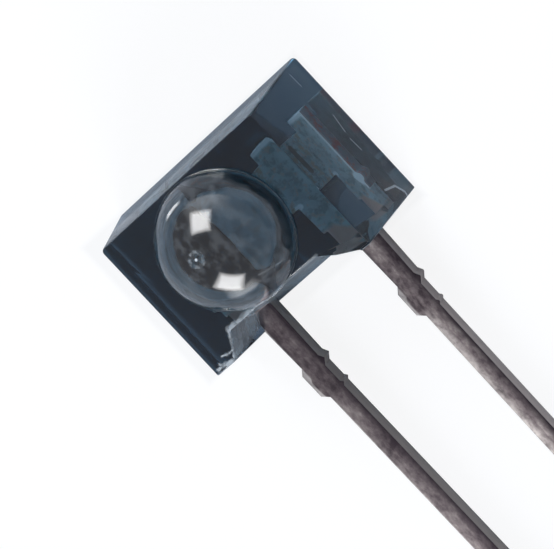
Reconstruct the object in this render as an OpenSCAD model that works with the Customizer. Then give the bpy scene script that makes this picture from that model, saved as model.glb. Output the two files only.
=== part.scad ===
// Side-looking infrared emitter. A smoke-blue clear block of cast resin carries a
// round lens on its broad face, and two flat stamped leads leave its open end.
// It lies on its back: Z comes out of the lens, the leads run along -Y, and the
// origin is where the lens axis meets the flat back.

/* [Block] */
// Width of the lens face
face_width = 3.9; // [3.5:0.05:4.4]
// Width of the back, wider because of the mould draft
back_width = 4.8; // [4.6:0.05:5.6]
// Lens axis up to the top edge of the lens face
face_top = 1.36; // [1.36:0.01:1.6]
// Lens axis up to the top edge of the back
back_top = 1.55; // [1.5:0.01:2]
// Lens axis down to the rim at the open end
rim_drop = 1.76; // [1.7:0.01:2.2]
// Depth from the flat back to the lens face
block_depth = 2.65; // [2.4:0.05:3.2]
// Rounding of the two long top edges
edge_round = 0.09; // [0.03:0.01:0.15]

/* [Lens] */
// Radius of the dome
lens_radius = 1.3; // [1.1:0.01:1.35]
// Width of the narrow shoulder round the foot of the dome
land_width = 0.025; // [0.01:0.005:0.06]
// Height of that shoulder
land_height = 0.06; // [0.02:0.01:0.12]

/* [Open end] */
// How far the fill surface is drawn up at the lens face
arch_rise = 0.48; // [0.3:0.01:0.6]
// How far it is drawn up at the back
back_rise = 0.07; // [0.03:0.01:0.2]
// Hollow of the fill surface between face and back
fill_sag = 0.07; // [0.03:0.01:0.12]
// Left end of the arch on the lens face, at its top
arch_left = 1.17; // [1:0.01:1.3]
// Right end of the arch on the lens face, at its top
arch_right = 1; // [0.8:0.01:1.1]
// Sideways run of the arch's left foot
foot_left = 0.32; // [0.2:0.01:0.4]
// Sideways run of the arch's right foot
foot_right = 0.74; // [0.5:0.01:0.8]
// Extra drop of the left back corner of the rim
heel_drop = 0.18; // [0.05:0.01:0.25]

/* [Leads] */
// Distance between the two leads
pitch = 2.54; // [2.4:0.01:2.7]
// Height of the middle of the leads over the flat back
lead_height = 0.5; // [0.4:0.01:0.8]
// Thickness of the lead sheet
lead_thick = 0.4; // [0.3:0.01:0.5]
// Width of the long thin part of a lead
leg_width = 0.36; // [0.3:0.01:0.42]
// Width of a lead where it leaves the block
shank_width = 0.48; // [0.44:0.01:0.55]
// Width of a lead just above its stubs
shank_end = 0.43; // [0.42:0.01:0.44]
// Length of the wire lead below the rim
lead_length = 15; // [8:0.5:28]
// Extra length of the chip lead
lead_extra = 0.15; // [0:0.05:2]
// Angle by which each lead leans in to the other
toe_in = 0.35; // [0:0.05:0.7]

/* [Tie bar stubs] */
// Rim down to the start of the stubs
stub_start = 1.12; // [0.8:0.01:1.6]
// Length of the cut stubs along the lead
stub_length = 0.76; // [0.6:0.01:1]
// How far the stubs stand out
stub_out = 0.1; // [0.05:0.01:0.15]
// Length of the slope at each end of a stub
stub_slope = 0.12; // [0.05:0.01:0.15]
// How far the small lower burr stands out on the right
burr_out = 0.05; // [0.03:0.01:0.08]

/* [Inside] */
// Middle of the chip lead to the inner edge of its plate
plate_inner = 0.32; // [0.28:0.01:0.4]
// Middle of the wire lead to the inner edge of its plate
post_inner = 0.24; // [0.24:0.01:0.28]
// Middle of a lead to the outer edge of its plate
plate_outer = 0.3; // [0.28:0.01:0.4]
// Lens axis up to the top of the chip lead's plate
chip_plate_top = 0.75; // [0.6:0.01:0.9]
// Lens axis up to the top of the wire lead's plate
wire_plate_top = 0.6; // [0.4:0.01:0.8]
// Lens axis down to the lower end of both plates
plate_bottom = 1.12; // [1:0.01:1.2]
// Sideways reach of the locking barb on each plate
barb_out = 0.12; // [0.06:0.01:0.2]
// Lens axis up to the top of the arm that carries the chip
arm_top = 0.5; // [0.3:0.01:0.55]
// Lens axis down to the bottom of that arm
arm_bottom = 0.5; // [0.3:0.01:0.5]
// Lens axis out to the free end of the arm
arm_reach = 0.81; // [0.6:0.01:0.85]
// Side of the square emitter chip
chip_size = 0.34; // [0.2:0.01:0.4]
// Height of the chip
chip_height = 0.2; // [0.12:0.01:0.25]
// Side of the paste pad under the chip
paste_size = 0.44; // [0.42:0.01:0.5]
// Thickness of that paste
paste_thick = 0.03; // [0.02:0.005:0.05]
// Diameter of the bond wire
wire_dia = 0.035; // [0.025:0.005:0.04]
// Diameter of the ball that welds the wire to the chip
ball_dia = 0.1; // [0.08:0.01:0.12]
// Height of that ball
ball_height = 0.05; // [0.03:0.01:0.06]
// Rise of the wire loop over the chip
loop_rise = 0.32; // [0.15:0.01:0.4]
// Length of the flat stitch on the wire lead
stitch_length = 0.12; // [0.08:0.01:0.16]
// Stitch to the inner edge of the wire lead's plate
stitch_inset = 0.2; // [0.15:0.01:0.26]
// Stitch to the top edge of the wire lead's plate
stitch_below = 0.17; // [0.15:0.01:0.3]

/* [Hidden] */
$fn = 96;
slab = 0.01;
reach = 20;
block_low = rim_drop + heel_drop + 1;
plate_face = lead_height + lead_thick / 2;
chip_floor = plate_face + paste_thick;
chip_top = chip_floor + chip_height;
ball_top = chip_top + ball_height;
stitch_x = -pitch / 2 + post_inner - stitch_inset;
stitch_y = wire_plate_top - stitch_below;
wire_turn = atan2(stitch_y, stitch_x);
wire_run = norm([stitch_x, stitch_y]);
stitch_height = wire_dia * 0.6;
ring_count = 18;
ring_sides = 8;

// One end of the block in outline: square below, its two top corners rounded.
module end_outline(width, top) {
    hull() {
        for (side = [-1, 1])
            translate([side * (width / 2 - edge_round), top - edge_round])
                circle(r = edge_round, $fn = 32);
        translate([-width / 2, -block_low])
            square([width, block_low - 0.5]);
    }
}

// Drafted block, wide at the back and narrow at the lens face.
module drafted_block() {
    hull() {
        linear_extrude(slab) end_outline(back_width, back_top);
        translate([0, 0, block_depth - slab])
            linear_extrude(slab) end_outline(face_width, face_top);
    }
}

// Everything below the rim: flat on the right, falling to the back on the left.
module below_rim() {
    translate([-arch_left, -block_low - reach, -1])
        cube([reach, block_low + reach - rim_drop, block_depth + 2]);
    translate([-arch_left, 0, 0]) rotate([0, -90, 0])
        linear_extrude(reach)
            polygon([
                [block_depth + 1, -rim_drop],
                [block_depth, -rim_drop],
                [0, -rim_drop - heel_drop],
                [-1, -rim_drop - heel_drop],
                [-1, -block_low - reach],
                [block_depth + 1, -block_low - reach]
            ]);
}

// Outline of the arch as it shows on the lens face.
module arch_outline() {
    polygon([
        [-arch_left - foot_left, -rim_drop],
        [-arch_left, -rim_drop + arch_rise],
        [arch_right, -rim_drop + arch_rise],
        [arch_right + foot_right * 0.45, -rim_drop + arch_rise * 0.5],
        [arch_right + foot_right, -rim_drop + 0.03],
        [arch_right + foot_right + 0.1, -block_low],
        [-arch_left - foot_left, -block_low]
    ]);
}

// Hollow fill surface: a wide cylinder that passes through the arch at the lens
// face and through the drawn-up edge at the back.
module fill_surface() {
    drop = arch_rise - back_rise;
    chord = norm([block_depth, drop]);
    radius = chord * chord / (8 * fill_sag) + fill_sag / 2;
    tilt = atan2(drop, block_depth);
    mid_y = -rim_drop + (arch_rise + back_rise) / 2;
    mid_z = block_depth / 2;
    fall = radius - fill_sag;
    translate([0, mid_y - fall * cos(tilt), mid_z + fall * sin(tilt)])
        rotate([0, 90, 0])
            cylinder(r = radius, h = reach, center = true, $fn = 240);
}

module open_end() {
    below_rim();
    intersection() {
        translate([0, 0, -1]) linear_extrude(block_depth + 2) arch_outline();
        fill_surface();
    }
}

// Dome with its narrow shoulder, standing on the lens face.
module lens() {
    translate([0, 0, block_depth]) {
        intersection() {
            sphere(r = lens_radius);
            translate([-reach / 2, -reach / 2, -0.1]) cube([reach, reach, reach]);
        }
        translate([0, 0, -0.1])
            cylinder(r = lens_radius + land_width, h = land_height + 0.1);
    }
}

// Shift that leans a lead: none above the rim, growing below it.
function leaned(points, lean) = [
    for (p = points) [p[0] + lean * max(0, -p[1] - rim_drop), p[1]]
];

// Outline of one lead from its plate down to its tip, about its own middle.
function lead_points(tip) =
    let (
        top = -plate_bottom + 0.05,
        start = -rim_drop - stub_start,
        end = start - stub_length,
        out = shank_end / 2 + stub_out,
        right_out = leg_width / 2 + stub_out
    )
    [
        [-shank_width / 2, top],
        [-shank_width / 2, -rim_drop],
        [-shank_end / 2, start],
        [-out, start - stub_slope],
        [-out, end + stub_slope],
        [-leg_width / 2, end],
        [-leg_width / 2, tip],
        [leg_width / 2, tip],
        [leg_width / 2, end],
        [leg_width / 2 + burr_out, end + stub_slope / 2],
        [leg_width / 2, end + stub_slope],
        [leg_width / 2, start - stub_slope * 2],
        [right_out, start - stub_slope],
        [shank_end / 2, start],
        [shank_width / 2, -rim_drop],
        [shank_width / 2, top]
    ];

module sheet() {
    translate([0, 0, lead_height - lead_thick / 2])
        linear_extrude(lead_thick) children();
}

// Inner plate of the lead on the right, with a barb that locks it in the resin.
module plate(inner, top) {
    barb_low = -plate_bottom + 0.15;
    barb_tip = plate_outer + barb_out;
    polygon([
        [-inner, -plate_bottom],
        [plate_outer, -plate_bottom],
        [plate_outer, barb_low],
        [barb_tip, barb_low + 0.06],
        [barb_tip, barb_low + 0.14],
        [plate_outer, barb_low + 0.24],
        [plate_outer, top],
        [-inner, top]
    ]);
}

module chip_lead_form() {
    sheet() {
        translate([pitch / 2, 0]) {
            polygon(leaned(lead_points(-rim_drop - lead_length - lead_extra), -tan(toe_in)));
            plate(plate_inner, chip_plate_top);
        }
        translate([-arm_reach, -arm_bottom])
            square([arm_reach + pitch / 2, arm_bottom + arm_top]);
    }
}

module wire_lead_form() {
    sheet()
        translate([-pitch / 2, 0])
            polygon(leaned(lead_points(-rim_drop - lead_length), tan(toe_in)));
    sheet()
        translate([-pitch / 2, 0])
            mirror([1, 0]) plate(post_inner, wire_plate_top);
}

module die_attach_form() {
    translate([-paste_size / 2, -paste_size / 2, plate_face])
        cube([paste_size, paste_size, paste_thick]);
}

module emitter_chip_form() {
    translate([-chip_size / 2, -chip_size / 2, chip_floor])
        cube([chip_size, chip_size, chip_height]);
}

// Middle line of the wire: up from the ball, over and down to the stitch. It is
// drawn along X and turned to the stitch afterwards.
function wire_at(t) = [
    wire_run * t,
    0,
    (ball_top - slab) * (1 - t) + (plate_face + stitch_height / 2) * t
        + loop_rise * 4 * pow(t, 0.75) * (1 - t) * (1 - 0.35 * t)
];

function ring(t) =
    let (
        back = wire_at(max(0, t - 0.02)),
        ahead = wire_at(min(1, t + 0.02)),
        way = (ahead - back) / norm(ahead - back),
        up = cross(way, [0, 1, 0]),
        middle = wire_at(t)
    )
    [for (i = [0:ring_sides - 1])
        let (a = 360 * i / ring_sides)
        middle + wire_dia / 2 * (sin(a) * up - cos(a) * [0, 1, 0])];

module wire_sweep() {
    rings = [for (k = [0:ring_count - 1]) each ring(k / (ring_count - 1))];
    last = (ring_count - 1) * ring_sides;
    sides = [
        for (k = [0:ring_count - 2], i = [0:ring_sides - 1])
            let (j = (i + 1) % ring_sides, a = k * ring_sides, b = a + ring_sides)
                [a + i, a + j, b + j, b + i]
    ];
    ends = [
        [for (i = [ring_sides - 1:-1:0]) i],
        [for (i = [0:ring_sides - 1]) last + i]
    ];
    polyhedron(points = rings, faces = concat(sides, ends));
}

module bond_wire_form() {
    translate([0, 0, chip_top]) cylinder(d = ball_dia, h = ball_height, $fn = 48);
    rotate([0, 0, wire_turn]) {
        wire_sweep();
        translate([wire_run - stitch_length / 2, -wire_dia, plate_face])
            cube([stitch_length, wire_dia * 2, stitch_height]);
    }
}

module package() {
    color("#3c4a58")
        difference() {
            union() {
                difference() {
                    drafted_block();
                    open_end();
                }
                lens();
            }
            chip_lead_form();
            wire_lead_form();
            die_attach_form();
            emitter_chip_form();
            bond_wire_form();
        }
}

module chip_lead() {
    color("#8d8680") chip_lead_form();
}

module wire_lead() {
    color("#8d8680") wire_lead_form();
}

module die_attach() {
    color("#c9c9c4") die_attach_form();
}

module emitter_chip() {
    color("#4a4650") emitter_chip_form();
}

module bond_wire() {
    color("#d9b45b") bond_wire_form();
}

package();
chip_lead();
wire_lead();
die_attach();
emitter_chip();
bond_wire();
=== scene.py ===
import bpy
import math
from mathutils import Matrix, Vector


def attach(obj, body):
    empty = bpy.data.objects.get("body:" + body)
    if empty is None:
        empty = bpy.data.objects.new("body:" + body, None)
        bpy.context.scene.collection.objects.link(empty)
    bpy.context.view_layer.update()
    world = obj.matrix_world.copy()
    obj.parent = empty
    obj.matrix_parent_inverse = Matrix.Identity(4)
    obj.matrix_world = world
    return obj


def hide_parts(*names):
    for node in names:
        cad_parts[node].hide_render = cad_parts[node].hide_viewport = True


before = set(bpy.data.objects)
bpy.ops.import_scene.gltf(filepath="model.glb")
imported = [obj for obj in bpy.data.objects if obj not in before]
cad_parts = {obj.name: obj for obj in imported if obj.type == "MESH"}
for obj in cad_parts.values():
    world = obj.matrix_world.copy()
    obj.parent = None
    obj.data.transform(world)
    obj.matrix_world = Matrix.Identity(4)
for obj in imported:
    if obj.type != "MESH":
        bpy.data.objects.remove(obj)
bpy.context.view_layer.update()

# The resin block with its lens. It is one casting of smoke-blue clear epoxy: the mould
# gives it drafted sides, two rounded top edges and a round lens on the broad face. The
# open end is the fill surface, drawn up in an arch on the lens side and hollow behind.
MM = 0.001
FACE_W, BACK_W = 3.9, 4.8
FACE_TOP, BACK_TOP = 1.36, 1.55
RIM, DEPTH = 1.76, 2.65
TOP_ROUND = 0.09
LENS_R, LAND_W, LAND_H = 1.3, 0.025, 0.06
ARCH_RISE, BACK_RISE, SAG = 0.48, 0.07, 0.07
ARCH_LEFT, ARCH_RIGHT, FOOT_LEFT, FOOT_RIGHT = 1.17, 1.0, 0.32, 0.74
HEEL = 0.18
EDGE_ROUND, MOULD_LINE = 0.025, 0.03
BLANK_END, REACH = -4, 9


def fresh():
    """Leaves edit mode with nothing selected."""
    if bpy.context.object and bpy.context.object.mode != 'OBJECT':
        bpy.ops.object.mode_set(mode='OBJECT')
    bpy.ops.object.select_all(action='DESELECT')


def named(name):
    piece = bpy.context.object
    piece.name = name
    piece.data.name = name
    return piece


def alone(piece):
    fresh()
    piece.select_set(True)
    bpy.context.view_layer.objects.active = piece


def pick(piece, kind, test):
    """Selects the faces, edges or corners of a piece that pass a test on their place."""
    alone(piece)
    bpy.ops.object.mode_set(mode='EDIT')
    bpy.ops.mesh.select_mode(type={'polygons': 'FACE', 'edges': 'EDGE', 'vertices': 'VERT'}[kind])
    bpy.ops.mesh.select_all(action='DESELECT')
    bpy.ops.object.mode_set(mode='OBJECT')
    mesh = piece.data
    for item in getattr(mesh, kind):
        if kind == 'vertices':
            ends = [item.co]
        else:
            ends = [mesh.vertices[i].co for i in item.vertices]
        item.select = bool(test(ends))
    bpy.ops.object.mode_set(mode='EDIT')


def done(piece, kind, **settings):
    """Adds one modifier and applies it."""
    alone(piece)
    modifier = piece.modifiers.new(kind.lower(), kind)
    for key, value in settings.items():
        setattr(modifier, key, value)
    bpy.ops.object.modifier_apply(modifier=modifier.name)


def cut(piece, tool, operation='DIFFERENCE'):
    done(piece, 'BOOLEAN', operation=operation, solver='EXACT', object=tool)
    tool_mesh = tool.data
    bpy.data.objects.remove(tool)
    bpy.data.meshes.remove(tool_mesh)


def blank(name, points, low, high, along='Z'):
    """A flat outline, counter-clockwise, drawn from a filled ring and pushed out to a
    thickness. The outline lies across the axis it is pushed along."""
    fresh()
    bpy.ops.mesh.primitive_circle_add(vertices=len(points), radius=1, fill_type='NGON')
    piece = named(name)
    for corner, (a, b) in zip(piece.data.vertices, points):
        corner.co = (a, b, low) if along == 'Z' else (low, a, b)
    alone(piece)
    bpy.ops.object.mode_set(mode='EDIT')
    bpy.ops.mesh.select_all(action='SELECT')
    push = (0, 0, high - low) if along == 'Z' else (high - low, 0, 0)
    bpy.ops.mesh.extrude_region_move(TRANSFORM_OT_translate={"value": push})
    bpy.ops.mesh.select_all(action='SELECT')
    bpy.ops.mesh.normals_make_consistent(inside=False)
    bpy.ops.object.mode_set(mode='OBJECT')
    return piece


def to_metres(piece, angle=30):
    """The pieces are shaped in millimetres and brought to metres at the end."""
    alone(piece)
    piece.scale = (MM, MM, MM)
    bpy.ops.object.transform_apply(location=True, rotation=True, scale=True)
    bpy.ops.object.shade_smooth_by_angle(angle=math.radians(angle))


def dress(piece, material):
    piece.data.materials.clear()
    piece.data.materials.append(material)


class Value:
    """A number in a material's nodes, so that sums on it read as sums."""

    def __init__(self, nodes, socket):
        self.nodes = nodes
        self.socket = socket

    def _sum(self, operation, *others):
        return self.nodes.add('ShaderNodeMath', {'operation': operation},
                              {i: v for i, v in enumerate(others)})

    def __add__(self, other):
        return self._sum('ADD', self, other)

    def __sub__(self, other):
        return self._sum('SUBTRACT', self, other)

    def __rsub__(self, other):
        return self._sum('SUBTRACT', other, self)

    def __mul__(self, other):
        return self._sum('MULTIPLY', self, other)

    def __truediv__(self, other):
        return self._sum('DIVIDE', self, other)

    def __pow__(self, other):
        return self._sum('POWER', self, other)

    def size(self):
        return self._sum('ABSOLUTE', self)

    def least(self, other):
        return self._sum('MINIMUM', self, other)

    def most(self, other):
        return self._sum('MAXIMUM', self, other)

    def held(self, top=1):
        """Kept between 0 and a top."""
        return self.least(top).most(0)

    __radd__ = __add__
    __rmul__ = __mul__


class Finish:
    """A material and its nodes."""

    def __init__(self, name):
        self.material = bpy.data.materials.new(name)
        self.material.use_nodes = True
        self.tree = self.material.node_tree
        self.tree.nodes.clear()
        self.out = self.tree.nodes.new('ShaderNodeOutputMaterial')
        self.place = self.add('ShaderNodeTexCoord', {}, {}, 'Object')

    def add(self, kind, settings, inputs, output=0):
        node = self.tree.nodes.new(kind)
        stops = settings.pop('stops', None)
        for key, value in settings.items():
            setattr(node, key, value)
        if stops:
            ramp = node.color_ramp.elements
            while len(ramp) < len(stops):
                ramp.new(0.5)
            for stop, (at, colour) in zip(ramp, stops):
                stop.position = at
                stop.color = colour if len(colour) == 4 else (*colour, 1)
        for key, value in inputs.items():
            socket = node.inputs[key]
            if isinstance(value, Value):
                self.tree.links.new(value.socket, socket)
            else:
                socket.default_value = value
        return Value(self, node.outputs[output])

    def noise(self, scale, detail=3.0, stretch=(1, 1, 1), roughness=0.5, shift=(0, 0, 0)):
        """Cloudy variation: scale counts per millimetre."""
        place = self.add('ShaderNodeMapping', {}, {
            'Vector': self.place, 'Location': shift,
            'Scale': tuple(1000 * s for s in stretch)})
        return self.add('ShaderNodeTexNoise', {'noise_dimensions': '3D'}, {
            'Vector': place, 'Scale': scale, 'Detail': detail, 'Roughness': roughness})

    def mix(self, factor, first, second):
        """Blends two colours."""
        first, second = (colour if isinstance(colour, Value) else (*colour, 1)
                         for colour in (first, second))
        return self.add('ShaderNodeMix', {'data_type': 'RGBA'},
                        {0: factor, 6: first, 7: second}, 2)

    def across(self, axis):
        """Distance along one axis in millimetres."""
        return self.add('ShaderNodeSeparateXYZ', {}, {0: self.place}, axis) * 1000

    def bump(self, height, distance, strength=1.0):
        """Height is 0 to 1, distance in millimetres."""
        return self.add('ShaderNodeBump', {}, {
            'Height': height, 'Distance': distance * MM, 'Strength': strength})

    def surface(self, shader):
        self.tree.links.new(shader.socket, self.out.inputs['Surface'])
        return self


block = blank('resin_block', [
    (-BACK_W / 2, BLANK_END), (BACK_W / 2, BLANK_END), (BACK_W / 2, BACK_TOP),
    (-BACK_W / 2, BACK_TOP)], 0, DEPTH)
pick(block, 'vertices', lambda p: p[0].z > DEPTH / 2)
bpy.ops.transform.resize(value=(FACE_W / BACK_W, 1, 1), center_override=(0, 0, DEPTH))
pick(block, 'vertices', lambda p: p[0].z > DEPTH / 2 and p[0].y > 0)
bpy.ops.transform.translate(value=(0, FACE_TOP - BACK_TOP, 0))
pick(block, 'edges', lambda p: min(q.y for q in p) > 1 and abs(p[0].z - p[1].z) > 1)
bpy.ops.mesh.bevel(offset=TOP_ROUND, segments=8, affect='EDGES')

low_right = blank('low_right', [
    (-ARCH_LEFT, -REACH), (REACH, -REACH), (REACH, -RIM), (-ARCH_LEFT, -RIM)], -1, DEPTH + 1)
cut(block, low_right)
low_left = blank('low_left', [
    (-RIM, DEPTH + 1), (-REACH, DEPTH + 1), (-REACH, -1), (-RIM - HEEL, -1),
    (-RIM - HEEL, 0), (-RIM, DEPTH)], -REACH, -ARCH_LEFT, along='X')
cut(block, low_left)
arch = blank('arch', [(-ARCH_LEFT - FOOT_LEFT, -5), (ARCH_RIGHT + FOOT_RIGHT + 0.1, -5),
                      (ARCH_RIGHT + FOOT_RIGHT, -RIM + 0.03),
                      (ARCH_RIGHT + FOOT_RIGHT * 0.45, -RIM + ARCH_RISE * 0.5),
                      (ARCH_RIGHT, -RIM + ARCH_RISE), (-ARCH_LEFT, -RIM + ARCH_RISE),
                      (-ARCH_LEFT - FOOT_LEFT, -RIM)], -1, DEPTH + 1)
drop = ARCH_RISE - BACK_RISE
chord = math.hypot(DEPTH, drop)
hollow = chord ** 2 / (8 * SAG) + SAG / 2
lean = math.atan2(drop, DEPTH)
HOLLOW_Y = -RIM + (ARCH_RISE + BACK_RISE) / 2 - (hollow - SAG) * math.cos(lean)
HOLLOW_Z = DEPTH / 2 + (hollow - SAG) * math.sin(lean)
fresh()
bpy.ops.mesh.primitive_cylinder_add(
    vertices=720, radius=hollow, depth=2 * REACH, rotation=(0, math.pi / 2, 0),
    location=(0, HOLLOW_Y, HOLLOW_Z))
meniscus = named('meniscus')
bpy.ops.object.transform_apply(location=True, rotation=True, scale=True)
cut(arch, meniscus, 'INTERSECT')
cut(block, arch)

# The edges are slightly round, all but those round the back, where the mould closed.
alone(block)
bpy.ops.object.mode_set(mode='EDIT')
bpy.ops.mesh.select_mode(type='EDGE')
bpy.ops.mesh.select_all(action='DESELECT')
bpy.ops.mesh.edges_select_sharp(sharpness=math.radians(35))
bpy.ops.object.mode_set(mode='OBJECT')
for line in block.data.edges:
    if max(block.data.vertices[i].co.z for i in line.vertices) < MOULD_LINE:
        line.select = False
bpy.ops.object.mode_set(mode='EDIT')
bpy.ops.mesh.bevel(offset=EDGE_ROUND, segments=3, affect='EDGES')

fresh()
bpy.ops.mesh.primitive_uv_sphere_add(segments=192, ring_count=128, radius=LENS_R,
                                     location=(0, 0, DEPTH))
dome = named('dome')
bpy.ops.object.transform_apply(location=True, rotation=True, scale=True)
pick(dome, 'vertices', lambda p: True)
bpy.ops.mesh.bisect(plane_co=(0, 0, DEPTH - 0.1), plane_no=(0, 0, 1), clear_inner=True,
                    use_fill=True)
fresh()
bpy.ops.mesh.primitive_cylinder_add(vertices=192, radius=LENS_R + LAND_W, depth=LAND_H + 0.1,
                                    location=(0, 0, DEPTH + LAND_H / 2 - 0.05))
land = named('land')
bpy.ops.object.transform_apply(location=True, rotation=True, scale=True)
pick(land, 'edges', lambda p: min(q.z for q in p) > DEPTH)
bpy.ops.mesh.bevel(offset=LAND_W * 0.8, segments=4, affect='EDGES')
cut(dome, land, 'UNION')
cut(block, dome, 'UNION')
to_metres(block, 20)

resin = Finish('smoke_resin')
ripple = resin.noise(0.8, detail=2.0, shift=(0.3, 0.1, 0.7))
cloud = resin.noise(0.9, detail=3.0, shift=(2.1, 0.4, 0.9))
resin_x, resin_y, resin_z = resin.across(0), resin.across(1), resin.across(2)

# A small pit from the mould on the lens, a dull ring round a hollow; the bright spot at its bottom
# is a painted glint.
PIT_X, PIT_Y, PIT_Z, RING_R = -0.147, 0.144, 3.934, 0.14
off_pit = ((resin_x - PIT_X) ** 2 + (resin_y - PIT_Y) ** 2 + (resin_z - PIT_Z) ** 2) ** 0.5
pit = (off_pit * 9 - 0.45).held()
pit_ring = ((0.05 - (off_pit - RING_R).size()) * 24).held(0.7)
# Painted glint: a bright spot at the bottom of the pit.
pit_painted_glint = ((0.034 - off_pit) * 60).held(0.9)

# The fill surface dried a little milky, its hollow, left cheek and low left heel. The top
# wall is lightened with faint streaks drawn across it, a painted sheen.
off_hollow = (((resin_y - HOLLOW_Y) ** 2 + (resin_z - HOLLOW_Z) ** 2) ** 0.5 - hollow).size()
cheek = math.hypot(ARCH_RISE, FOOT_LEFT)
off_cheek = (((resin_x + ARCH_LEFT + FOOT_LEFT) * ARCH_RISE - (resin_y + RIM) * FOOT_LEFT)
             / cheek).size()
off_heel = (resin_y + RIM + HEEL - resin_z * (HEEL / DEPTH)).size()
in_hollow = ((resin_x + ARCH_LEFT) * 30).least((resin_x - ARCH_RIGHT - 0.1) * -30).held()
in_cheek = ((resin_x + ARCH_LEFT) * -30).least((resin_y + RIM - ARCH_RISE - 0.02) * -30).held()
milk_hollow = ((0.03 - off_hollow) * 60).least(in_hollow * 0.4)
milk_cheek = ((0.03 - off_cheek) * 60).least(in_cheek)
milk_heel = ((0.03 - off_heel) * 60).least((resin_x + ARCH_LEFT + FOOT_LEFT) * -30)
milk = milk_hollow.most(milk_cheek).most(milk_heel).held()
# Painted sheen: the top wall is lightened with pale streaks.
off_top = (resin_y - BACK_TOP + resin_z * ((BACK_TOP - FACE_TOP) / DEPTH)).size()
drawn = resin.noise(2.5, detail=4.0, stretch=(0.25, 1, 1), shift=(0.2, 0.7, 1.9))
painted_top_sheen = ((0.02 - off_top) * 80).held() * (drawn * 0.3 - 0.02)
gloss = resin.add('ShaderNodeBsdfPrincipled', {}, {
    'Base Color': resin.mix(cloud, (0.82, 0.84, 1.0), (0.78, 0.97, 0.96)),
    'Roughness': 0.0,
    'IOR': 1.53,
    'Transmission Weight': 1.0,
    'Coat Weight': ((resin_z - DEPTH - 0.03) * 40).held(0.9),
    'Coat Roughness': 0.1,
    'Normal': resin.bump(ripple * 0.7 + pit * 2.2, 0.03, 0.35)}, 'BSDF')
tint = resin.add('ShaderNodeVolumeAbsorption', {}, {
    'Color': (0.26, 0.45, 0.54, 1), 'Density': 800.0}, 'Volume')


def strokes(a, b, marks):
    """Straight marks in a plane, each with two ends and a half width."""
    total = 0
    for (a1, b1), (a2, b2), wide in marks:
        da, db = a2 - a1, b2 - b1
        t = (((a - a1) * da + (b - b1) * db) / (da * da + db * db)).held()
        away = ((a - a1 - t * da) ** 2 + (b - b1 - t * db) ** 2) ** 0.5
        total = total + ((wide - away) / wide).most(0)
    return total


# Scuffs: fine ones on the right-hand wall, chips and a pale lip along the open end, a thin
# scratch and a faint smeared haze on the lens.
wall_marks = strokes(resin_y, resin_z, [
    ((0.27, 0.43), (-0.1, 0.53), 0.012), ((1.35, 0.6), (1.05, 0.58), 0.01),
    ((-0.25, 0.57), (-0.55, 0.54), 0.01), ((-1.36, 0.92), (-1.45, 0.54), 0.025),
    ((-1.45, 0.54), (-1.66, 0.41), 0.03), ((-1.66, 0.41), (-1.77, 0.45), 0.025)])
frost = resin.noise(5.0, detail=4.0, shift=(1.3, 2.2, 0.1))
speckle = resin.noise(14.0, detail=3.0, shift=(0.6, 0.2, 1.1))
waver = (resin.noise(7.0, detail=3.0, shift=(0.2, 3.1, 0.4)) - 0.5) * 0.14
face_marks = strokes(resin_x + waver, resin_y + waver * 0.8, [
    ((-1.62, -1.53), (-1.40, -1.58), 0.03), ((-1.84, -1.67), (-1.54, -1.71), 0.06),
    ((-1.17, -1.25), (-0.62, -1.25), 0.075), ((-0.62, -1.25), (-0.15, -1.27), 0.06),
    ((-1.17, -1.25), (-1.45, -1.70), 0.04), ((-1.75, -1.60), (-1.66, -1.74), 0.03)])
lens_marks = (strokes(resin_x, resin_y, [((0.38, -0.80), (0.75, -0.92), 0.012)])
              * ((resin_z - DEPTH - 0.3) * 10).held(0.35))
smear = resin.noise(3.4, detail=6.0, stretch=(1.4, 0.8, 1), roughness=0.7, shift=(0.4, 1.7, 0.3))
haze = ((smear - 0.47) * 0.5).held(0.06) * ((resin_z - DEPTH - 0.1) * 10).held()
on_face = ((resin_z - DEPTH + 0.08) * 30).held()
scuffs = (wall_marks * (resin_x - 1.9) * 8).most(lens_marks).most(
    face_marks * on_face * (frost * 3.4 - 1.15)).held(0.55)
# The pale dull shader shows real scuffs, milkiness, haze and the pit's ring, and also the painted
# glint in the pit and the painted sheen on the top wall.
chalk_and_painted_sheen = resin.add('ShaderNodeBsdfDiffuse', {}, {'Color': (0.55, 0.62, 0.68, 1)}, 'BSDF')
dulled_and_painted_sheen = scuffs.most(milk * (frost * 0.35 + 0.14)).most(pit_ring * (speckle * 1.3 - 0.52))
dulled_and_painted_sheen = dulled_and_painted_sheen.most(pit_painted_glint).most(painted_top_sheen).most(haze)
resin.surface(resin.add('ShaderNodeMixShader', {}, {0: dulled_and_painted_sheen, 1: gloss, 2: chalk_and_painted_sheen}, 'Shader'))
resin.tree.links.new(tint.socket, resin.out.inputs['Volume'])
dress(block, resin.material)
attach(block, 'root')
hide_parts('package')

# The two leads. They are stamped from one sheet of steel, tinned below the resin and
# silvered inside it, and they were joined by a tie bar whose cut stubs stand out below
# the block. Each has a plate with a locking barb; the right one carries the chip's arm.
PITCH, LEAD_Z, SHEET = 2.54, 0.5, 0.4
LEG_W, SHANK_W, SHANK_END = 0.36, 0.48, 0.43
LENGTH, EXTRA, TOE = 15.0, 0.15, math.tan(math.radians(0.35))
STUB_START, STUB_LEN, STUB_OUT, STUB_SLOPE, BURR = 1.12, 0.76, 0.1, 0.12, 0.05
PLATE_IN, POST_IN, PLATE_OUT, PLATE_LOW = 0.32, 0.24, 0.3, 1.12
CHIP_PLATE_TOP, WIRE_PLATE_TOP = 0.75, 0.6
BARB, BARB_LOW, BARB_TIP_LOW, BARB_TIP_TOP, BARB_TOP = 0.12, 0.15, 0.06, 0.14, 0.24
ARM_TOP, ARM_LOW, ARM_REACH = 0.5, 0.5, 0.81
LEAD_ROUND = 0.045


def rounded(piece, width, segments):
    """Rounds the edges that turn by more than 50 degrees."""
    done(piece, 'BEVEL', width=width, segments=segments, limit_method='ANGLE',
         angle_limit=math.radians(50))


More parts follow.
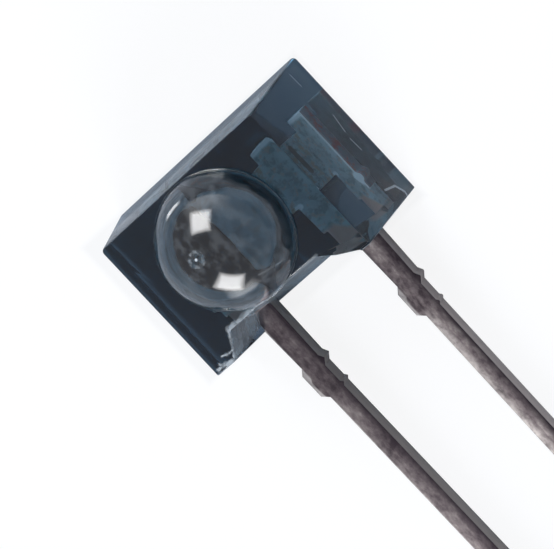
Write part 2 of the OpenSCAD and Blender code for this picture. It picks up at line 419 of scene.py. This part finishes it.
def below(tip):
    """The outline under the plate, from its left corner down round the tip."""
    start = -RIM - STUB_START
    end = start - STUB_LEN
    out = SHANK_END / 2 + STUB_OUT
    half = LEG_W / 2
    return [(-SHANK_W / 2, -PLATE_LOW), (-SHANK_W / 2, -RIM), (-SHANK_END / 2, start),
            (-out, start - STUB_SLOPE), (-out, end + STUB_SLOPE), (-half, end), (-half, tip),
            (half, tip), (half, end), (half + BURR, end + STUB_SLOPE / 2), (half, end + STUB_SLOPE),
            (half, start - STUB_SLOPE * 2), (half + STUB_OUT, start - STUB_SLOPE),
            (SHANK_END / 2, start), (SHANK_W / 2, -RIM), (SHANK_W / 2, -PLATE_LOW)]


def leaned(points, lean):
    return [(x + lean * max(0, -y - RIM), y) for x, y in points]


def barb(side):
    low = -PLATE_LOW + BARB_LOW
    tip = PLATE_OUT + BARB
    return [(side * PLATE_OUT, low), (side * tip, low + BARB_TIP_LOW),
            (side * tip, low + BARB_TIP_TOP), (side * PLATE_OUT, low + BARB_TOP)]


def placed(points, x):
    return [(a + x, b) for a, b in points]


chip_points = (
    placed(leaned(below(-RIM - LENGTH - EXTRA), -TOE), PITCH / 2)
    + placed([(PLATE_OUT, -PLATE_LOW)] + barb(1)
             + [(PLATE_OUT, CHIP_PLATE_TOP), (-PLATE_IN, CHIP_PLATE_TOP)], PITCH / 2)
    + [(PITCH / 2 - PLATE_IN, ARM_TOP), (-ARM_REACH, ARM_TOP), (-ARM_REACH, -ARM_LOW),
       (PITCH / 2 - PLATE_IN, -ARM_LOW), (PITCH / 2 - PLATE_IN, -PLATE_LOW)])
wire_points = (
    placed(leaned(below(-RIM - LENGTH), TOE), -PITCH / 2)
    + placed([(POST_IN + 0.001, -PLATE_LOW), (POST_IN, WIRE_PLATE_TOP),
              (-PLATE_OUT, WIRE_PLATE_TOP)]
             + barb(-1)[::-1] + [(-PLATE_OUT, -PLATE_LOW)], -PITCH / 2))

chip_lead = blank('chip_lead_sheet', chip_points, LEAD_Z - SHEET / 2, LEAD_Z + SHEET / 2)
wire_lead = blank('wire_lead_sheet', wire_points, LEAD_Z - SHEET / 2, LEAD_Z + SHEET / 2)


def lead_finish(name, middle, lean, top, painted_light_level, shift):
    """Tinned below the block, silvered and a little tarnished inside it, with a dark band
    along the right of the broad faces and bare sheared edges. It also carries painted light:
    a painted light level that lightens one lead more than the other, a painted sheen and
    highlight line along the left of the broad faces, painted highlights on the plates' rims,
    painted glints, a painted shade in the gap beside the arm and a painted red reflection on
    the plates' sheared faces."""
    metal = Finish(name)
    side, down, high = metal.across(0), metal.across(1), metal.across(2)
    slant = ((side - middle) * 1.3).least(0.4).most(-0.1)
    inside = ((down + PLATE_LOW + 0.08 + slant) * 10 + 0.5).held()
    wet = ((down + RIM - 0.26) * 30 + 0.5).held()
    streaks = metal.noise(7.0, detail=5.0, stretch=(1, 0.1, 1), shift=shift)
    blotch = metal.noise(2.2, detail=4.0, stretch=(1, 0.5, 1), shift=shift)
    speck = metal.noise(11.0, detail=4.0, stretch=(1, 0.55, 1), roughness=0.6, shift=shift)
    grain = metal.noise(22.0, detail=3.0, roughness=0.6)
    off = side - middle - (down * -1 - RIM).most(0) * lean
    slim = ((down * -1 - RIM - STUB_START - STUB_LEN) * 3 + 0.5).held()
    broad = (((high - LEAD_Z).size() - SHEET / 2 + 0.03) * 60).held()
    band = ((off - 0.045 + slim * 0.025) * 7).held() * broad
    cut_zone = (((down + RIM + STUB_START) * -12 - 3).held()
                * ((down + RIM + STUB_START + STUB_LEN) * 12 + 0.4).held())
    # Painted highlight: a thin pale line along the left edge of the broad faces.
    painted_left_highlight = ((off * -1 - 0.2 + slim * 0.045 - cut_zone * 0.045) * 40).held()
    edge = (1 - broad) * (1 - inside)
    # Painted sheen: the left part of the broad faces is painted lighter, in patches.
    painted_left_sheen = (((off * -1 - 0.01) * 8).held() * broad * slim * painted_light_level
                 * (speck * 2.4 - 0.45).held())
    dull = metal.add('ShaderNodeValToRGB', {'stops': [
        (0.30, (0.07, 0.056, 0.062)), (0.45, (0.15, 0.124, 0.13)),
        (0.60, (0.24, 0.207, 0.207)), (0.78, (0.42, 0.38, 0.365))]},
        {'Fac': (streaks * 0.25 + blotch * 0.35 + speck * 0.4 - 0.5) * 1.9 + 0.5}, 'Color')
    # Painted shade: a lead with a lower painted light level is darkened overall, and its bare edges
    # are painted less light.
    dull = metal.mix(0.4 - painted_light_level * 0.35, dull, (0.07, 0.058, 0.066))
    bare = (0.41 + painted_light_level * 0.22, 0.37 + painted_light_level * 0.18, 0.335 + painted_light_level * 0.17)
    dull = metal.mix(edge * 0.8, dull, bare)
    dull = metal.mix(painted_left_sheen * (blotch * 1.2 + 0.15).least(0.8), dull, (0.68, 0.63, 0.6))
    dull = metal.mix(band * (blotch * 1.1 + 0.25).least(0.9), dull, (0.03, 0.022, 0.03))
    dull = metal.mix(painted_left_highlight * (speck * 1.2 - 0.05).held(0.85), dull, (0.66, 0.63, 0.61))
    silvered = metal.add('ShaderNodeValToRGB', {'stops': [
        (0.3, (0.36, 0.46, 0.48)), (0.7, (0.64, 0.72, 0.74))]}, {'Fac': blotch}, 'Color')
    # Painted highlights: pale rims along the plates' top and outer edges.
    painted_rim_highlights = (((down - top + 0.12) * 12).held() + ((off - PLATE_OUT + 0.06) * 30).held()).least(1)
    tarnish = metal.noise(6.0, detail=5.0, roughness=0.62, shift=shift)
    spots = metal.noise(9.0, detail=3.0, shift=(5, 2, 1))
    silvered = metal.mix(((0.52 - tarnish) * 5).held(0.55), silvered, (0.16, 0.2, 0.21))
    silvered = metal.mix(((spots - 0.57) * 7).held(0.45), silvered, (0.62, 0.42, 0.32))
    arm = ((off + PLATE_IN) * -20).held()
    mottle = metal.noise(4.5, detail=5.0, roughness=0.68, shift=(1, 4, 2))
    silvered = metal.mix(((mottle - 0.51) * 9).held(0.8) * arm, silvered, (0.4, 0.3, 0.2))
    silvered = metal.mix(((0.47 - mottle) * 9).held(0.8) * arm, silvered, (0.1, 0.15, 0.14))
    # Painted shade: a dark mark on the arm, in place of the dark gap between the arm and the post.
    painted_gap_shade = (strokes(side, down, [((0.44, 0.36), (0.44, -0.14), 0.075)]) * 4).held(0.97) * arm
    silvered = metal.mix(painted_gap_shade, silvered, (0.03, 0.045, 0.05))
    front = ((high - LEAD_Z - SHEET / 2 + 0.1) * 30).held()
    painted_rim_highlights = painted_rim_highlights * front * inside
    silvered = metal.mix(painted_rim_highlights * 0.95, silvered, (1.0, 1.0, 1.0))
    glints = (strokes(off, down, [
        ((PLATE_OUT - 0.07, -0.80), (PLATE_OUT - 0.03, -0.90), 0.12),
        ((-PLATE_IN, -ARM_LOW), (-PLATE_IN + 0.04, -ARM_LOW), 0.07),
        ((-PLATE_IN, top - 0.02), (PLATE_OUT, top - 0.02), 0.07)]) * 2.4 * front * inside).held()
    silvered = metal.mix(glints, silvered, (1.0, 1.0, 1.0))
    # The plates' outer sheared faces are darker; the red patches on them are a painted reflection.
    sheared = ((off - PLATE_OUT + 0.02) * 60).held() * (1 - broad)
    silvered = metal.mix(sheared * 0.8, silvered, (0.13, 0.1, 0.12))
    silvered = metal.mix(sheared * ((mottle - 0.5) * 7).held(0.75), silvered, (0.42, 0.04, 0.04))
    dull = metal.mix(wet * 0.8, dull, (0.8, 0.5, 0.42))
    metal.surface(metal.add('ShaderNodeBsdfPrincipled', {}, {
        'Base Color': metal.mix(inside, dull, silvered),
        'Metallic': (1 - wet * 0.75 - edge * 0.4 - painted_left_highlight * 0.4 - inside * sheared * 0.6
                     - painted_rim_highlights * 0.6 - glints).most(0),
        'Roughness': grain * 0.15 + blotch * 0.15 + 0.25,
        'Normal': metal.bump(streaks * 0.5 + blotch * 0.3 + grain * 0.2, 0.012, 0.5)}, 'BSDF'))
    return metal.material


# The chip lead gets the full painted light level and the wire lead little of it, so the same metal
# is painted lighter on one lead than the other.
for lead, node, middle, lean, top, painted_light_level, shift in (
        (chip_lead, 'chip_lead', PITCH / 2, -TOE, CHIP_PLATE_TOP, 1.0, (0, 0, 0)),
        (wire_lead, 'wire_lead', -PITCH / 2, TOE, WIRE_PLATE_TOP, 0.15, (3, 1, 2))):
    rounded(lead, LEAD_ROUND, 3)
    to_metres(lead)
    dress(lead, lead_finish(node + '_metal', middle, lean, top, painted_light_level, shift))
    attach(lead, 'root')
    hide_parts(node)

# The emitter chip on its pad of silver paste. The chip is a sawn square of dark crystal
# with a bright metal dot on top; the paste squeezes out a little round its foot.
PASTE, PASTE_H, PASTE_CORNER, CHIP, CHIP_H = 0.44, 0.03, 0.1, 0.34, 0.2
RIM_W, STEP_W, DOT_R = 0.03, 0.06, 0.075
FLOOR_Z = LEAD_Z + SHEET / 2


def square(size):
    half = size / 2
    return [(-half, -half), (half, -half), (half, half), (-half, half)]


paste = blank('paste_pad', square(PASTE), FLOOR_Z, FLOOR_Z + PASTE_H)
pick(paste, 'edges', lambda p: abs(p[0].z - p[1].z) > 0.01)
bpy.ops.mesh.bevel(offset=PASTE_CORNER, segments=6, affect='EDGES')
rounded(paste, 0.012, 3)
to_metres(paste)
silver = Finish('silver_paste')
flakes = silver.noise(30.0, detail=4.0)
silver.surface(silver.add('ShaderNodeBsdfPrincipled', {}, {
    'Base Color': silver.mix(flakes, (0.55, 0.55, 0.54), (0.82, 0.82, 0.8)),
    'Metallic': 0.8,
    'Roughness': flakes * 0.3 + 0.35,
    'Normal': silver.bump(flakes, 0.01, 0.5)}, 'BSDF'))
dress(paste, silver.material)
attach(paste, 'root')
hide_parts('die_attach')

CHIP_Z = FLOOR_Z + PASTE_H
chip = blank('sawn_chip', square(CHIP), CHIP_Z, CHIP_Z + CHIP_H)
pick(chip, 'polygons', lambda p: min(q.z for q in p) > CHIP_Z + CHIP_H / 2)
bpy.ops.mesh.inset(thickness=RIM_W, depth=0)
bpy.ops.mesh.inset(thickness=STEP_W, depth=0)
rounded(chip, 0.008, 2)
to_metres(chip)
crystal = Finish('dark_crystal')
grit = crystal.noise(18.0, detail=3.0)
from_axis = (crystal.across(0) ** 2 + crystal.across(1) ** 2) ** 0.5
dot = ((DOT_R - from_axis) * 200 + 0.5).held()
crystal.surface(crystal.add('ShaderNodeBsdfPrincipled', {}, {
    'Base Color': crystal.mix(dot, crystal.mix(grit, (0.05, 0.045, 0.06), (0.12, 0.11, 0.13)),
                              (0.85, 0.7, 0.4)),
    'Metallic': dot * 0.9 + 0.1,
    'Roughness': grit * 0.2 + 0.25}, 'BSDF'))
dress(chip, crystal.material)
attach(chip, 'root')
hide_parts('emitter_chip')

# The bond wire. It is fine gold wire, melted to a ball on the chip's dot, looped over to
# the left lead and pressed flat there in a short stitch.
WIRE, BALL, BALL_H, LOOP, STITCH = 0.035, 0.1, 0.05, 0.32, 0.12
BALL_Z = CHIP_Z + CHIP_H
STITCH_X, STITCH_Y = -PITCH / 2 + POST_IN - 0.2, WIRE_PLATE_TOP - 0.17
RUN = math.hypot(STITCH_X, STITCH_Y)
STITCH_H = WIRE * 0.6


def along_wire(t):
    fall = (BALL_Z + BALL_H - 0.01) * (1 - t) + (FLOOR_Z + STITCH_H / 2) * t
    return Vector((RUN * t, 0, fall + LOOP * 4 * t ** 0.75 * (1 - t) * (1 - 0.35 * t)))


fresh()
bpy.ops.mesh.primitive_circle_add(vertices=16, radius=WIRE / 2, fill_type='NGON')
wire = named('gold_wire')
STEPS = 36
way = (along_wire(0.02) - along_wire(0)).normalized()
turn = way.to_track_quat('Z', 'Y')
for corner in wire.data.vertices:
    corner.co = turn @ corner.co + along_wire(0)
alone(wire)
bpy.ops.object.mode_set(mode='EDIT')
bpy.ops.mesh.select_all(action='SELECT')
for step in range(1, STEPS + 1):
    t = step / STEPS
    before = along_wire((step - 1) / STEPS)
    here = along_wire(t)
    ahead = (along_wire(min(1, t + 0.02)) - along_wire(t - 0.02)).normalized()
    bpy.ops.mesh.extrude_region_move(TRANSFORM_OT_translate={"value": here - before})
    bend = -math.asin(max(-1, min(1, way.cross(ahead).y)))
    bpy.ops.transform.rotate(value=bend, orient_axis='Y', center_override=here)
    way = ahead
bpy.ops.mesh.select_all(action='SELECT')
bpy.ops.mesh.normals_make_consistent(inside=False)
fresh()
bpy.ops.mesh.primitive_uv_sphere_add(segments=32, ring_count=16, radius=BALL / 2,
                                     location=(0, 0, BALL_Z + BALL_H / 2))
ball = named('ball')
ball.scale = (1, 1, BALL_H / BALL)
bpy.ops.object.transform_apply(location=True, rotation=True, scale=True)
cut(wire, ball, 'UNION')
flat = blank('stitch', [(RUN - STITCH / 2, -WIRE * 0.7), (RUN + STITCH / 2, -WIRE),
                        (RUN + STITCH / 2, WIRE), (RUN - STITCH / 2, WIRE * 0.7)],
             FLOOR_Z, FLOOR_Z + STITCH_H)
rounded(flat, 0.006, 2)
cut(wire, flat, 'UNION')
alone(wire)
wire.rotation_euler.z = math.atan2(STITCH_Y, STITCH_X)
to_metres(wire, 40)
gold = Finish('bond_gold')
worn = gold.noise(25.0, detail=2.0)
gold.surface(gold.add('ShaderNodeBsdfPrincipled', {}, {
    'Base Color': gold.mix(worn, (0.9, 0.68, 0.3), (1.0, 0.8, 0.45)),
    'Metallic': 1.0,
    'Roughness': worn * 0.15 + 0.15}, 'BSDF'))
dress(wire, gold.material)
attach(wire, 'root')
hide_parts('bond_wire')

# The floor: a plain sheet that the part lies on. The camera sees it white, with a part of
# the shadow; the resin and the metal see it as the dim grey of a dull room, and darker
# where the block covers it, a painted shadow.
FLOOR_SIZE, FLOOR_LOW = 4, -0.00004
fresh()
bpy.ops.mesh.primitive_plane_add(size=FLOOR_SIZE, location=(0, 0, FLOOR_LOW))
ground = named('floor_sheet')
bpy.ops.object.transform_apply(location=True, rotation=True, scale=True)
paper = Finish('white_sheet')
seen = paper.add('ShaderNodeLightPath', {}, {}, 'Is Camera Ray')
# Painted shadow: the floor under the block is darker.
under_width = ((paper.across(0) + 0.5).size() - 3.0) * -8
under_height = (paper.across(1) + 0.2).size() * -8 + 15
painted_contact_shadow = under_width.least(under_height).held()
matt = paper.add('ShaderNodeBsdfDiffuse', {}, {
    'Color': paper.mix(painted_contact_shadow, (0.32, 0.345, 0.385), (0.15, 0.18, 0.225))}, 'BSDF')
lit = paper.add('ShaderNodeEmission', {}, {'Color': (1, 1, 1, 1), 'Strength': 1.25}, 'Emission')
blend = paper.add('ShaderNodeMixShader', {}, {0: seen * 0.7, 1: matt, 2: lit}, 'Shader')
paper.surface(blend)
dress(ground, paper.material)

# The light: a dim even room, a window past the top of the part and one past its leads,
# which show as the two bright panes on the lens, faint walls below them, and a small card
# beside the part. Each is a stack of ever smaller sheets, which softens its edge.
LOOK_AT = Vector((0, 0, 0.0034))
world = bpy.data.worlds.new('room')
bpy.context.scene.world = world
world.use_nodes = True
room = world.node_tree
room.nodes.clear()
room_out = room.nodes.new('ShaderNodeOutputWorld')
room_light = room.nodes.new('ShaderNodeBackground')
room_light.inputs['Color'].default_value = (0.9, 0.92, 1.0, 1)
room_light.inputs['Strength'].default_value = 0.5
room_white = room.nodes.new('ShaderNodeBackground')
room_white.inputs['Color'].default_value = (1, 1, 1, 1)
room_white.inputs['Strength'].default_value = 1.0
room_ray = room.nodes.new('ShaderNodeLightPath')
room_mix = room.nodes.new('ShaderNodeMixShader')
room.links.new(room_ray.outputs['Is Camera Ray'], room_mix.inputs[0])
room.links.new(room_light.outputs[0], room_mix.inputs[1])
room.links.new(room_white.outputs[0], room_mix.inputs[2])
room.links.new(room_mix.outputs[0], room_out.inputs['Surface'])

for name, way, far, wide, bright, steps, shrink, turned in (
        ('window_top', (0.077, 0.779, 0.623), 0.22, (0.138, 0.14), 8.9, 4, 0.12, -20),
        ('window_leads', (-0.409, -0.742, 0.531), 0.22, (0.15, 0.132), 8.9, 4, 0.12, -34),
        ('wall_top', (0.33, 0.93, 0.12), 0.1, (0.125, 0.085), 1.2, 5, 0.17, 0),
        ('wall_leads', (-0.37, -0.92, 0.14), 0.1, (0.07, 0.04), 1.9, 4, 0.16, 0),
        ('card', (-0.412, 0.911, 0.02), 0.0105, (0.0042, 0.0019), 4.5, 3, 0.2, 0)):
    spot = Vector(way).normalized()
    for step in range(steps):
        pane = bpy.data.lights.new(name, 'AREA')
        pane.shape = 'RECTANGLE'
        pane.size, pane.size_y = (side * (1 - shrink * step) for side in wide)
        pane.energy = math.pi * pane.size * pane.size_y * bright / steps
        lamp = bpy.data.objects.new(name, pane)
        bpy.context.collection.objects.link(lamp)
        lamp.location = spot * far * (1 - 0.002 * step)
        lamp.rotation_euler = (lamp.location - LOOK_AT).to_track_quat('Z', 'Y').to_euler()
        lamp.rotation_euler.rotate_axis('Z', math.radians(turned))
        lamp.visible_camera = False

# The camera: about 22 degrees to the right of the lens axis and 3 above it, close to the
# part, rolled so that the leads run to the lower right.
camera_data = bpy.data.cameras.new('camera')
camera_data.sensor_width = 36
camera_data.lens = 163.6
camera_data.clip_start = 0.001
camera_data.clip_end = 20
camera = bpy.data.objects.new('camera', camera_data)
bpy.context.collection.objects.link(camera)
right = Vector((0.69538884, -0.68073797, -0.23028281))
down_way = Vector((-0.61319108, -0.72916798, 0.30382685))
ahead_way = Vector((-0.37474132, -0.07007044, -0.92447773))
camera.matrix_world = Matrix((
    (right.x, -down_way.x, -ahead_way.x, 0.01711283),
    (right.y, -down_way.y, -ahead_way.y, 0.00207219),
    (right.z, -down_way.z, -ahead_way.z, 0.04422590),
    (0, 0, 0, 1)))
bpy.context.scene.camera = camera
bpy.context.scene.view_settings.view_transform = 'Standard'
